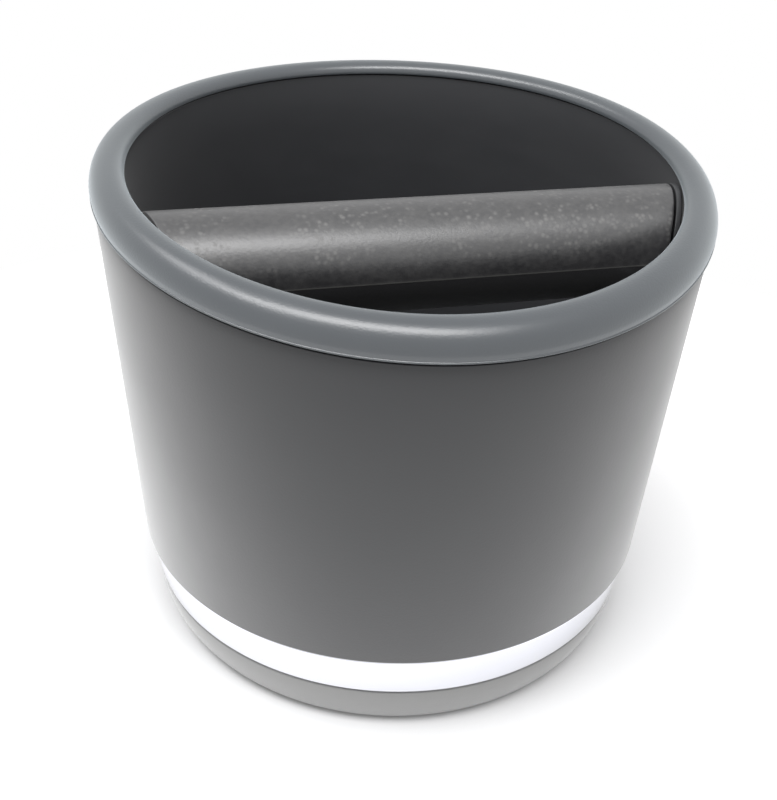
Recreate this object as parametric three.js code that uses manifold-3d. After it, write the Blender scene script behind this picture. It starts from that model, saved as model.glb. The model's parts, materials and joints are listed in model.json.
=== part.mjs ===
// Espresso knock box: a tapered round bin on a chrome band and a rubber foot, with a sloping soft rim
// and a rubber covered knock bar that lifts up out of two seats.
// Millimetres, +Z up, the bar along X, the front towards -Y, the origin on the table under the middle.
import * as THREE from "three";
import { mergeVertices } from "three/addons/utils/BufferGeometryUtils.js";
import Module from "manifold-3d";

const wasm = await Module();
wasm.setup();

// Clearances
const seatGap = 0.3; // between pieces that rest on each other or stand in each other
const rimShadowGap = 0.9; // the open line between the shell and the rim
const skirtClearance = 0.5; // between the rim's skirt and the liner inside it
const barPassGap = 0.2; // between the bar's ends and the lip that they are lifted past
const barEndGap = 0.35; // between the bar's ends and the liner's wall
const barSideGap = 0.8; // between the bar and the end plates of its brackets
const cutOverrun = 1; // how far a cutting shape runs past what it cuts

// Top line seen from the side: it falls towards the front along a shallow arc
const topLineTiltDegrees = 4.69;
const topLineArcRadius = 825;

// Rubber foot
const footHeight = 11.6;
const footContactRadius = 53.1;
const footContactWidth = 8.1;
const footPadThickness = 4.7;
const footInset = 0.3; // behind the lower edge of the chrome band
const footTurnDegrees = 65; // how far its side turns under on the way down

// Chrome band
const chromeHeight = 10.4;
const chromeInset = 0.6; // behind the lower edge of the shell
const chromeLean = 1.5; // how much narrower it is at its lower edge
const chromeThickness = 2.7;
const chromeEdgeRadius = 1;

// Base tub
const tubWall = 2.4;
const tubFloor = 2.5;

// Outer shell
const shellBottomRadius = 60;
const shellTopRadius = 64.4;
const shellHeight = 80.4;
const shellWall = 2.6;
const shellFlange = 2.5;
const shellFlangeWidth = 25.4;

// Screws and their bosses
const screwCount = 4;
const screwInset = 5; // from the foot's inner edge to the middle of a screw
const screwShaftRadius = 1.5;
const screwLength = 11;
const screwTip = 1.5;
const screwHeadRadius = 3.25;
const screwHeadHeight = 2.3;
const screwHeadEdge = 0.9;
const crossWidth = 0.9;
const crossLength = 3.6;
const crossDepth = 1.2;
const bossRadius = 3.5;
const bossSpareDepth = 1.3; // bore left over past the screw's tip

// Rim ring
const rimOverhang = 0.6; // past the top edge of the shell
const rimEdgeHeight = 1.34; // from its lower edge to its widest line
const rimEdgeInset = 0.15;
const rimRoundWidth = 4.3; // outer round, from the widest line in to the crest
const rimRoundHeight = 4.62;
const lipRoundHeight = 2.31;
const lipFaceHeight = 0.3;
const lipOverhang = 0.4; // past the liner's wall
const skirtDepth = 5;
const skirtWall = 1;

// Bin liner
const linerWall = 1.7;
const linerFloor = 2;
const linerCornerRadius = 8;

// Knock bar
const barOffset = 15.1; // in front of the middle
const barDrop = 10.3; // below the rim's lower edge
const barRadius = 11.5;
const coreRadius = 6.7;
const coreWall = 1.7;
const coreInset = 0.6; // behind the sleeve's end
const capFlange = 0.55;
const capPlugLength = 10;

// Bar seats and the liner's brackets for them
const seatDepth = 6;
const seatFloor = 3;
const seatArm = 3.2;
const seatArmDrop = 1; // below the bar's axis
const seatCornerRadius = 3;
const bracketWall = 1.8;
const bracketPlate = 1.5;
const bracketReveal = 2; // how far the seat's arms stand above it
const bracketSlopeDegrees = 45;

// Smoothness of round shapes
const roundSegments = 64;
const barSegments = 48;
const smallSegments = 20;
const edgeSteps = 3;
const roundSteps = 6;

// Heights above the table
const tubZ = footPadThickness + seatGap;
const screwZ = tubZ - seatGap;
const tubFloorTopZ = tubZ + tubFloor;
const chromeZ = footHeight + seatGap;
const chromeTopZ = chromeZ + chromeHeight;
const shellZ = chromeTopZ + seatGap;
const tubTopZ = shellZ - seatGap;
const flangeTopZ = shellZ + shellFlange;
const shellTopZ = shellZ + shellHeight;
const rimZ = shellTopZ + rimShadowGap;
const rimWidestZ = rimZ + rimEdgeHeight;
const crestZ = rimWidestZ + rimRoundHeight;
const lipTopZ = crestZ - lipRoundHeight;
const lipUndersideZ = lipTopZ - lipFaceHeight;
const linerZ = flangeTopZ + seatGap;
const linerFloorTopZ = linerZ + linerFloor;
const linerTopZ = lipUndersideZ - seatGap;
const barZ = rimZ - barDrop;

// Radii about the middle
const chromeTopRadius = shellBottomRadius - chromeInset;
const chromeBottomRadius = chromeTopRadius - chromeLean;
const chromeInnerRadius = chromeBottomRadius - chromeThickness;
const tubRadius = chromeInnerRadius - seatGap;
const footTopRadius = chromeBottomRadius - footInset;
const footInnerRadius = footContactRadius - footContactWidth;
const screwCircleRadius = footInnerRadius - screwInset;
const screwHoleRadius = screwShaftRadius + seatGap;
const shellTaper = (shellTopRadius - shellBottomRadius) / shellHeight;
const rimRadius = shellTopRadius + rimOverhang;
const crestRadius = rimRadius - rimRoundWidth;
const skirtOuterRadius = shellTopRadius - shellWall - seatGap;
const skirtInnerRadius = skirtOuterRadius - skirtWall;
const linerTopRadius = skirtInnerRadius - skirtClearance;
const linerBottomRadius = shellInside(linerZ) - seatGap;
const linerTaper = (linerTopRadius - linerBottomRadius) / (linerTopZ - linerZ);
const lipRadius = linerTopRadius - linerWall - lipOverhang;

// The bar's ends follow the round wall, and its seats stand between it and their brackets
const barReach = lipRadius - barPassGap;
const wallReach = Math.min(linerInside(barZ - barRadius) - barEndGap, barReach);
const sleeveReach = wallReach - capFlange - seatGap;
const boreRadius = coreRadius + seatGap;
const coreEndX = Math.sqrt(sleeveReach ** 2 - (barOffset + coreRadius) ** 2) - coreInset;
const plugRadius = coreRadius - coreWall - seatGap;
const seatRadius = barRadius + seatGap;
const seatReach = linerInside(barZ) - seatDepth;
const bracketReach = seatReach - seatGap - bracketPlate;
const bracketHalfWidth = seatRadius + seatArm + seatGap + bracketWall;
const bracketTopZ = barZ - seatArmDrop - bracketReveal;
const bracketFloorZ = barZ - seatRadius - seatFloor - seatGap;

// Height that the sloping top line adds at a depth y
function topLine(y) {
  const tilt = Math.tan(THREE.MathUtils.degToRad(topLineTiltDegrees));
  return tilt * y - y ** 2 / (2 * topLineArcRadius);
}

// Inner radius of the shell's wall at a height
function shellInside(z) {
  return shellBottomRadius + shellTaper * (z - shellZ) - shellWall;
}

// Inner radius of the liner's wall at a height
function linerInside(z) {
  return linerTopRadius - linerWall - linerTaper * (linerTopZ - z);
}

// A point of a turned outline: its radius and its height
function at(radius, z) {
  return new THREE.Vector2(radius, z);
}

// Part of an ellipse in a turned outline, from one angle to another
function arc(centre, width, height, fromDegrees, toDegrees, steps) {
  return Array.from({ length: steps + 1 }, (_, step) => {
    const angle = THREE.MathUtils.degToRad(fromDegrees + ((toDegrees - fromDegrees) * step) / steps);
    return at(centre.x + width * Math.cos(angle), centre.y + height * Math.sin(angle));
  });
}

// An outline turned about the upright axis; one that doesn't start on the axis closes on itself
function turned(outline, segments = roundSegments) {
  const closed = outline[0].x === 0 ? outline : [...outline, outline[0]];
  return new THREE.LatheGeometry(closed, segments).rotateX(Math.PI / 2);
}

// Lifts the points above a height to the top line; taper keeps them on a wall that widens upwards
function followTopLine(geometry, aboveZ, taper = 0) {
  const points = geometry.attributes.position;
  for (let index = 0; index < points.count; index += 1) {
    if (points.getZ(index) < aboveZ) continue;
    const lift = topLine(points.getY(index));
    const radius = Math.hypot(points.getX(index), points.getY(index));
    const spread = (radius + taper * lift) / radius;
    points.setX(index, points.getX(index) * spread);
    points.setY(index, points.getY(index) * spread);
    points.setZ(index, points.getZ(index) + lift);
  }
  return geometry;
}

// A closed surface as a solid that can be joined and cut
function solid(geometry) {
  const bare = geometry.clone();
  bare.deleteAttribute("normal");
  bare.deleteAttribute("uv");
  const merged = mergeVertices(bare);
  return new wasm.Manifold(
    new wasm.Mesh({
      numProp: 3,
      vertProperties: merged.attributes.position.array,
      triVerts: new Uint32Array(merged.index.array),
    })
  );
}

// The surface of a solid
function surface(body) {
  const { vertProperties, triVerts } = body.getMesh();
  const geometry = new THREE.BufferGeometry();
  geometry.setAttribute("position", new THREE.BufferAttribute(new Float32Array(vertProperties), 3));
  geometry.setIndex(new THREE.BufferAttribute(new Uint32Array(triVerts), 1));
  geometry.computeVertexNormals();
  return geometry;
}

// An upright column about the middle, straight or tapered, from one height to another
function column(bottomRadius, topRadius, bottomZ, topZ, segments = roundSegments) {
  const geometry = new THREE.CylinderGeometry(topRadius, bottomRadius, topZ - bottomZ, segments);
  return geometry.rotateX(Math.PI / 2).translate(0, 0, (bottomZ + topZ) / 2);
}

// A thin upright solid column about a screw's place
function columnAt(place, radius, bottomZ, topZ) {
  return solid(column(radius, radius, bottomZ, topZ, smallSegments).translate(place.x, place.y, 0));
}

// A round rod along X about the bar's axis, from one x to another
function rod(radius, fromX, toX) {
  const geometry = new THREE.CylinderGeometry(radius, radius, Math.abs(toX - fromX), barSegments);
  return geometry.rotateZ(Math.PI / 2).translate((fromX + toX) / 2, 0, 0);
}

// What lies inside the liner's wall, less a gap, seen from the bar's axis
function insideLiner(gap) {
  const bottomRadius = linerInside(linerFloorTopZ) - gap;
  const wall = column(bottomRadius, linerInside(crestZ) - gap, linerFloorTopZ, crestZ);
  return solid(wall.translate(0, barOffset, -barZ));
}

// What lies within a radius of the middle, seen from the bar's axis
function within(radius) {
  return solid(column(radius, radius, linerFloorTopZ, crestZ).translate(0, barOffset, -barZ));
}

// A block along X from the middle out to one side, of an outline drawn across the bar
function sideways(shape, side) {
  const options = { depth: rimRadius, bevelEnabled: false, curveSegments: roundSteps };
  const geometry = new THREE.ExtrudeGeometry(shape, options);
  const across = new THREE.Matrix4().makeBasis(
    new THREE.Vector3(0, 1, 0),
    new THREE.Vector3(0, 0, 1),
    new THREE.Vector3(1, 0, 0)
  );
  geometry.applyMatrix4(across);
  return geometry.translate(side < 0 ? -rimRadius : 0, 0, 0);
}

// A box with two round lower corners, drawn across the bar
function blockOutline(halfWidth, bottom, top, corner) {
  const shape = new THREE.Shape();
  shape.moveTo(-halfWidth, top);
  shape.lineTo(-halfWidth, bottom + corner);
  shape.absarc(corner - halfWidth, bottom + corner, corner, Math.PI, Math.PI * 1.5);
  shape.absarc(halfWidth - corner, bottom + corner, corner, Math.PI * 1.5, Math.PI * 2);
  shape.lineTo(halfWidth, top);
  return shape;
}

function makeRubberFoot() {
  const turn = THREE.MathUtils.degToRad(footTurnDegrees);
  const width = (footTopRadius - footContactRadius) / (1 - Math.cos(turn));
  const height = footHeight / Math.sin(turn);
  return turned([
    at(footInnerRadius, 0),
    ...arc(at(footTopRadius - width, footHeight), width, height, -footTurnDegrees, 0, roundSteps),
    at(chromeInnerRadius, footHeight),
    at(chromeInnerRadius, footPadThickness),
    at(footInnerRadius, footPadThickness),
  ]);
}

function makeChromeBand() {
  const lower = at(chromeBottomRadius - chromeEdgeRadius, chromeZ + chromeEdgeRadius);
  const upper = at(chromeTopRadius - chromeEdgeRadius, chromeTopZ - chromeEdgeRadius);
  return turned([
    at(chromeInnerRadius, chromeZ),
    ...arc(lower, chromeEdgeRadius, chromeEdgeRadius, -90, 0, edgeSteps),
    ...arc(upper, chromeEdgeRadius, chromeEdgeRadius, 0, 90, edgeSteps),
    at(chromeInnerRadius, chromeTopZ),
  ]);
}

// The places of the screws, in the corners between the front, the sides and the back
function screwPlaces() {
  return Array.from({ length: screwCount }, (_, index) => {
    const angle = (Math.PI * 2 * (index + 1 / 2)) / screwCount;
    return at(screwCircleRadius * Math.cos(angle), screwCircleRadius * Math.sin(angle));
  });
}

function makeBaseTub() {
  const tub = turned([
    at(0, tubZ),
    at(tubRadius, tubZ),
    at(tubRadius, tubTopZ),
    at(tubRadius - tubWall, tubTopZ),
    at(tubRadius - tubWall, tubFloorTopZ),
    at(0, tubFloorTopZ),
  ]);
  let body = solid(tub);
  for (const place of screwPlaces()) {
    body = body.subtract(columnAt(place, screwHoleRadius, tubZ - cutOverrun, tubFloorTopZ + cutOverrun));
  }
  return surface(body);
}

function makeScrew() {
  const headRound = at(screwHeadRadius - screwHeadEdge, -screwHeadEdge);
  const screw = turned(
    [
      at(0, -screwHeadHeight),
      ...arc(headRound, screwHeadEdge, screwHeadHeight - screwHeadEdge, -90, 0, edgeSteps),
      at(screwHeadRadius, 0),
      at(screwShaftRadius, 0),
      at(screwShaftRadius, screwLength - screwTip),
      at(0, screwLength),
    ],
    smallSegments
  );
  const slot = new THREE.BoxGeometry(crossLength, crossWidth, crossDepth * 2);
  slot.translate(0, 0, -screwHeadHeight);
  const cross = solid(slot).add(solid(slot.clone().rotateZ(Math.PI / 2)));
  return surface(solid(screw).subtract(cross));
}

function makeOuterShell() {
  const shell = turned([
    at(shellInside(shellZ) - shellFlangeWidth, shellZ),
    at(shellBottomRadius, shellZ),
    at(shellTopRadius, shellTopZ),
    at(shellTopRadius - shellWall, shellTopZ),
    at(shellInside(flangeTopZ), flangeTopZ),
    at(shellInside(shellZ) - shellFlangeWidth, flangeTopZ),
  ]);
  let body = solid(followTopLine(shell, shellTopZ - rimShadowGap, shellTaper));
  const bossZ = tubFloorTopZ + seatGap;
  const bossTopZ = (shellZ + flangeTopZ) / 2;
  const boreTopZ = screwZ + screwLength + bossSpareDepth;
  for (const place of screwPlaces()) {
    body = body.add(columnAt(place, bossRadius, bossZ, bossTopZ));
    body = body.subtract(columnAt(place, screwHoleRadius, bossZ - cutOverrun, boreTopZ));
  }
  return surface(body);
}

// The ring's section is two rounds that meet at the crest, and its skirt stands in the shell's mouth
function makeRimRing() {
  const ring = turned([
    at(rimRadius - rimEdgeInset, rimZ),
    ...arc(at(crestRadius, rimWidestZ), rimRoundWidth, rimRoundHeight, 0, 90, roundSteps),
    ...arc(at(crestRadius, lipTopZ), crestRadius - lipRadius, lipRoundHeight, 90, 180, roundSteps).slice(1),
    at(lipRadius, lipUndersideZ),
    at(skirtInnerRadius, lipUndersideZ),
    at(skirtInnerRadius, rimZ),
  ]);
  const skirtTaper = shellTaper * skirtDepth;
  const skirt = turned([
    at(skirtInnerRadius - skirtTaper, rimZ - skirtDepth),
    at(skirtOuterRadius - skirtTaper, rimZ - skirtDepth),
    at(skirtOuterRadius, rimWidestZ),
    at(skirtInnerRadius, rimWidestZ),
  ]);
  return surface(solid(followTopLine(ring, 0)).add(solid(followTopLine(skirt, 0, shellTaper))));
}

// A bracket under one end of the bar, seen from the bar's axis: a pocket with an end plate, round
// the seat, on a sloping underside that runs out in the wall
function makeBracket(side) {
  const rootRadius = linerInside(bracketTopZ) + linerWall / 2;
  const slope = (rootRadius - bracketReach) * Math.tan(THREE.MathUtils.degToRad(bracketSlopeDegrees));
  const wedge = turned([
    at(bracketReach, bracketFloorZ - bracketPlate),
    at(rootRadius - linerTaper * (bracketTopZ - bracketFloorZ), bracketFloorZ - bracketPlate - slope),
    at(rootRadius, bracketTopZ),
    at(bracketReach, bracketTopZ),
  ]);
  const lowest = -barZ;
  const block = solid(sideways(blockOutline(bracketHalfWidth, lowest, barRadius, bracketWall), side));
  const pocketOutline = blockOutline(
    bracketHalfWidth - bracketWall,
    bracketFloorZ - barZ,
    barRadius,
    seatCornerRadius + seatGap
  );
  const pocket = solid(sideways(pocketOutline, side)).subtract(within(seatReach - seatGap));
  const barRoom = solid(rod(barRadius + barSideGap, -rimRadius, rimRadius));
  const opening = pocket.add(barRoom).intersect(insideLiner(0));
  return solid(wedge.translate(0, barOffset, -barZ)).intersect(block).subtract(opening);
}

function makeBinLiner() {
  const cornerZ = linerFloorTopZ + linerCornerRadius;
  const corner = at(linerInside(cornerZ) - linerCornerRadius, cornerZ);
  const cup = turned([
    at(0, linerZ),
    at(linerBottomRadius, linerZ),
    at(linerTopRadius, linerTopZ),
    at(linerTopRadius - linerWall, linerTopZ),
    ...arc(corner, linerCornerRadius, linerCornerRadius, 0, -90, roundSteps),
    at(0, linerFloorTopZ),
  ]);
  const brackets = makeBracket(1).add(makeBracket(-1)).translate([0, -barOffset, barZ]);
  return surface(solid(followTopLine(cup, linerTopZ - linerWall, linerTaper)).add(brackets));
}

// A soft U under one end of the bar, seen from the bar's axis
function makeBarSeat(side) {
  const outline = blockOutline(seatRadius + seatArm, -seatRadius - seatFloor, -seatArmDrop, seatCornerRadius);
  const block = solid(sideways(outline, side)).intersect(insideLiner(seatGap));
  return surface(block.subtract(solid(rod(seatRadius, -rimRadius, rimRadius))).subtract(within(seatReach)));
}

function makeBarCore() {
  const tube = solid(rod(coreRadius, -coreEndX, coreEndX));
  const bore = rod(coreRadius - coreWall, -coreEndX - cutOverrun, coreEndX + cutOverrun);
  return surface(tube.subtract(solid(bore)));
}

function makeBarSleeve() {
  const sleeve = solid(rod(barRadius, -barReach, barReach)).intersect(within(sleeveReach));
  return surface(sleeve.subtract(solid(rod(boreRadius, -rimRadius, rimRadius))));
}

// A cap for one end of the bar: a thin flange that follows the wall, a neck in the sleeve's bore
// and a plug in the core
function makeBarCap(side) {
  const outside = insideLiner(barEndGap).intersect(within(barReach));
  const behindFlange = insideLiner(barEndGap + capFlange).intersect(within(barReach - capFlange));
  const flange = solid(rod(barRadius, 0, side * rimRadius)).subtract(behindFlange);
  const neck = solid(rod(coreRadius, side * (coreEndX + seatGap), side * rimRadius));
  const plug = solid(rod(plugRadius, side * (coreEndX - capPlugLength), side * rimRadius));
  return surface(flange.add(neck).add(plug).intersect(outside));
}

// A piece with its name, colour and finish
function piece(name, geometry, { color, roughness, metalness = 0 }) {
  const material = new THREE.MeshStandardMaterial({ color, roughness, metalness });
  const mesh = new THREE.Mesh(geometry, material);
  mesh.name = name;
  return mesh;
}

const finishes = {
  shellPlastic: { color: "#454649", roughness: 0.42 },
  softRim: { color: "#56575b", roughness: 0.6 },
  linerPlastic: { color: "#2c2d30", roughness: 0.5 },
  chrome: { color: "#e9ebee", roughness: 0.08, metalness: 1 },
  basePlastic: { color: "#2e2e30", roughness: 0.55 },
  footRubber: { color: "#6b6b6c", roughness: 0.75 },
  barRubber: { color: "#333335", roughness: 0.62 },
  capPlastic: { color: "#4c4d4f", roughness: 0.5 },
  steel: { color: "#b8babd", roughness: 0.3, metalness: 1 },
};

function makeKnockBox() {
  const knockBox = new THREE.Group();
  knockBox.add(
    piece("rubber_foot", makeRubberFoot(), finishes.footRubber),
    piece("chrome_band", makeChromeBand(), finishes.chrome),
    piece("base_tub", makeBaseTub(), finishes.basePlastic),
    piece("outer_shell", makeOuterShell(), finishes.shellPlastic),
    piece("bin_liner", makeBinLiner(), finishes.linerPlastic),
    piece("rim_ring", makeRimRing(), finishes.softRim)
  );

  screwPlaces().forEach((place, index) => {
    const screw = piece(`base_screw_${index + 1}`, makeScrew(), finishes.steel);
    screw.position.set(place.x, place.y, screwZ);
    knockBox.add(screw);
  });

  const knockBar = new THREE.Group();
  knockBar.position.set(0, -barOffset, barZ);
  knockBar.add(
    piece("bar_core", makeBarCore(), finishes.steel),
    piece("bar_sleeve", makeBarSleeve(), finishes.barRubber),
    piece("bar_cap_left", makeBarCap(-1), finishes.capPlastic),
    piece("bar_cap_right", makeBarCap(1), finishes.capPlastic)
  );

  const barSeats = new THREE.Group();
  barSeats.position.copy(knockBar.position);
  barSeats.add(
    piece("bar_seat_left", makeBarSeat(-1), finishes.barRubber),
    piece("bar_seat_right", makeBarSeat(1), finishes.barRubber)
  );

  knockBox.add(barSeats, knockBar);
  return knockBox;
}

export default makeKnockBox();
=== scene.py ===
import json
import math

import bmesh
import bpy
from mathutils import Matrix, Quaternion, Vector


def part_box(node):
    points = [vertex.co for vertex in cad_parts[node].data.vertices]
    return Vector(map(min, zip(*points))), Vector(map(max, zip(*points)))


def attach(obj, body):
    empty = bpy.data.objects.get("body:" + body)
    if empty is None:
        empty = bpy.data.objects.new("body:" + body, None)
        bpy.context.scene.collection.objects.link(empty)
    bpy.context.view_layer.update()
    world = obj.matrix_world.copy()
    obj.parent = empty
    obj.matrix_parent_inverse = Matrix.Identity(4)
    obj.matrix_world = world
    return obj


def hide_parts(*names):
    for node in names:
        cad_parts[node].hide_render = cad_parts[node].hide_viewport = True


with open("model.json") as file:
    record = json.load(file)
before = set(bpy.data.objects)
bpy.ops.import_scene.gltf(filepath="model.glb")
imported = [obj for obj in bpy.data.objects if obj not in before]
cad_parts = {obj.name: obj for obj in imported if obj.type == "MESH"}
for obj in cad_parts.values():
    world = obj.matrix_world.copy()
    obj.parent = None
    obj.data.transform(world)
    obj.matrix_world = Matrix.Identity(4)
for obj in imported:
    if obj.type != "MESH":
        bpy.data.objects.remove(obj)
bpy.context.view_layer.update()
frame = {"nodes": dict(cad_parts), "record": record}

mm = 0.001
samePoint = {"skin": 0.001, "turned": 0.002, "cut": 0.003}      # mm, under which points are made one

# small helpers


def boxOf(node):
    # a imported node's lowest and highest corner, in millimetres
    low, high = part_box(node)
    return low / mm, high / mm


def colourOf(code):
    # an sRGB hex colour as linear red, green, blue, alpha
    parts = [int(code[i:i + 2], 16) / 255 for i in (1, 3, 5)]
    linear = [c / 12.92 if c <= 0.04045 else ((c + 0.055) / 1.055) ** 2.4 for c in parts]
    return (*linear, 1)


def addNode(tree, kind, settings=None, inputs=None):
    # one node with its settings; an input is a value, or the socket it is linked to
    node = tree.nodes.new(kind)
    for name, value in (settings or {}).items():
        setattr(node, name, value)
    for key, value in (inputs or {}).items():
        if isinstance(value, bpy.types.NodeSocket):
            tree.links.new(value, node.inputs[key])
        else:
            node.inputs[key].default_value = value
    return node


def freshMaterial(name):
    material = bpy.data.materials.new(name)
    material.use_nodes = True
    material.node_tree.nodes.clear()
    return material


def finishMaterial(material, shader):
    addNode(material.node_tree, "ShaderNodeOutputMaterial", inputs={"Surface": shader})
    return material


def objectNoise(tree, size, detail=2, roughness=0.5, squeeze=(1, 1, 1)):
    # noise whose grains are about size millimetres apart
    place = addNode(tree, "ShaderNodeTexCoord").outputs["Object"]
    mapped = addNode(tree, "ShaderNodeMapping", inputs={"Vector": place, "Scale": squeeze})
    return addNode(tree, "ShaderNodeTexNoise", inputs={
        "Vector": mapped.outputs[0], "Scale": 1 / (size * mm), "Detail": detail, "Roughness": roughness,
    }).outputs["Fac"]


def spread(tree, value, low, high, fromLow=0.0, fromHigh=1.0):
    # a value brought from one range to another, held at the ends
    return addNode(tree, "ShaderNodeMapRange", inputs={
        "Value": value, "From Min": fromLow, "From Max": fromHigh, "To Min": low, "To Max": high,
    }).outputs[0]


def drifting(tree, noise, middle, wander):
    # a value that wanders with a noise, most of which lies between 0.3 and 0.7
    return spread(tree, noise, middle - wander, middle + wander, 0.3, 0.7)


def maths(tree, operation, first, second=0.0):
    return addNode(tree, "ShaderNodeMath", {"operation": operation}, {0: first, 1: second}).outputs[0]


def blendColours(tree, share, first, second):
    return addNode(tree, "ShaderNodeMix", {"data_type": "RGBA"}, {
        "Factor": share, "A": first, "B": second,
    }).outputs[2]


def bumped(tree, height, depth):
    # depth is the real height of the relief in millimetres
    return addNode(tree, "ShaderNodeBump", inputs={"Height": height, "Distance": depth * mm}).outputs[0]


# materials

print("materials")


def mouldedMaterial(name, look):
    # two close tones, a roughness that drifts with them, and the fine grain of the mould
    material = freshMaterial(name)
    tree = material.node_tree
    drift = objectNoise(tree, look["drift"], 3, 0.55, look.get("driftSqueeze", (1, 1, 1)))
    grain = objectNoise(tree, look["grain"], 3)
    shader = addNode(tree, "ShaderNodeBsdfPrincipled", inputs={
        "Base Color": blendColours(tree, drift, colourOf(look["colour"]), colourOf(look["colourLight"])),
        "Roughness": drifting(tree, drift, look["roughness"], look["roughnessDrift"]),
        "IOR": look["ior"],
        "Specular IOR Level": look.get("specular", 0.5),
        "Sheen Weight": look.get("sheen", 0.0),
        "Sheen Roughness": look.get("sheenRoughness", 0.5),
        "Sheen Tint": colourOf(look.get("sheenTint", "#ffffff")),
        "Normal": bumped(tree, grain, look["grainDepth"]),
    })
    return finishMaterial(material, shader.outputs[0])


# ABS from a finely spark-eroded mould: a dark satin that turns pale where the wall curves away
shellAbs = {
    "colour": "#28292c", "colourLight": "#2c2d30", "drift": 18,
    "roughness": 0.4, "roughnessDrift": 0.04, "ior": 1.53,
    "sheen": 1.0, "sheenRoughness": 0.46,
    "grain": 0.5, "grainDepth": 0.012,       # mm; the real grain is about 0.1 and wouldn't show
}

# soft TPE over the rim: greyer than the body, velvety, with one long quiet line of light
rimTpe = {
    "colour": "#474c51", "colourLight": "#4b5055", "drift": 12,
    "roughness": 0.295, "roughnessDrift": 0.015, "ior": 1.5, "specular": 1.0,
    "sheen": 1.0, "sheenRoughness": 0.47, "sheenTint": "#ecf5fa",
    "grain": 0.4, "grainDepth": 0.03,        # mm; coarser than the real grain, so that it shows
}

# ABS straight from the mould: the dark matt wall of the bin, with faint rub marks that run round it
linerAbs = {
    "colour": "#353639", "colourLight": "#393a3d", "drift": 14, "driftSqueeze": (1, 1, 3),
    "roughness": 0.5, "roughnessDrift": 0.03, "ior": 1.53,
    "sheen": 0.2, "sheenRoughness": 0.5,
    "grain": 0.5, "grainDepth": 0.01,
}

# moulded rubber: a dull mid grey with a trace of dust and no clear reflection
footRubber = {
    "colour": "#9b9b9a", "colourLight": "#a3a3a2", "drift": 5,
    "roughness": 0.6, "roughnessDrift": 0.06, "ior": 1.5,
    "sheen": 1.0, "sheenRoughness": 0.45,
    "grain": 0.6, "grainDepth": 0.02,
}

# moulded nylon: a dull dark grey that catches a thin line of light on its edge
capNylon = {
    "colour": "#38393b", "colourLight": "#3f4042", "drift": 6,
    "roughness": 0.48, "roughnessDrift": 0.05, "ior": 1.53,
    "grain": 0.4, "grainDepth": 0.006,
}

# coarse textured ABS of the unseen base
baseAbs = {
    "colour": "#2d2e30", "colourLight": "#333436", "drift": 9,
    "roughness": 0.5, "roughnessDrift": 0.06, "ior": 1.53,
    "grain": 0.6, "grainDepth": 0.015,
}

# bright chrome on moulded ABS: a near mirror whose reflections swim a little
chromePlate = {
    "colour": "#ecedf3",
    "roughness": 0.07, "roughnessDrift": 0.03, "haze": 3,
    "wave": 9.0, "waveDepth": 0.01,          # mm between the slow waves of a plated moulding
}


def makeChromePlate(look):
    material = freshMaterial("chrome-plated ABS")
    tree = material.node_tree
    haze = objectNoise(tree, look["haze"], 3)
    shader = addNode(tree, "ShaderNodeBsdfPrincipled", inputs={
        "Base Color": colourOf(look["colour"]),
        "Metallic": 1.0,
        "Roughness": drifting(tree, haze, look["roughness"], look["roughnessDrift"]),
        "Normal": bumped(tree, objectNoise(tree, look["wave"], 1), look["waveDepth"]),
    })
    return finishMaterial(material, shader.outputs[0])


# knock rubber: a dull dark grey, finely mottled, with a dry bloom whose pale dots run together in
# small clouds along its top
barRubber = {
    # the darker colour below the parting line is painted shade on the half of the bar that faces down
    # the pale colour on the parting line is a painted highlight, for the light its small ridge catches
    "colour": "#2f2f31", "colourShadedBelow": "#2d2d2f", "colourBloom": "#757473", "colourPartingHighlight": "#646462",
    "roughness": 0.37, "roughnessBloom": 0.55, "ior": 1.6, "specular": 0.94,
    "sheen": 0.3, "sheenRoughness": 0.4,
    "bloomStrength": 0.65,
    "bloomHeights": (95.5, 98.5),                           # mm above the table, from none to full
    "dotSpacing": 1.2, "dotRadius": 0.6, "dotCore": 0.3,    # mm, mm, and the share of the radius that is full
    "dotShare": 0.8,                                        # of the places that have a dot
    "cloudSize": 2.6, "cloudBounds": (0.38, 0.54),          # mm across the small clouds that the dots make
    "cloudFaintest": 0.1,
    "driftSize": 12.0, "driftBounds": (0.4, 0.55),          # mm across the drifts where the clouds gather
    "smudge": 5.0, "smudgeBounds": (0.35, 0.7), "smudgeStrength": 0.1,      # mm across a wiped patch
    "mottle": 1.3, "mottleBounds": (0.4, 0.62), "mottleStrength": 0.12,     # mm across a fleck
    "halvesBlend": 0.1,                                     # mm to either side of the parting line
    "partingHighlightWidth": 0.2,                                      # mm, the painted highlight along that line, where its small ridge catches light
    "grain": 0.6, "grainDepth": 0.028,                      # mm; coarser than it really is, so that it shows
}


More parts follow.
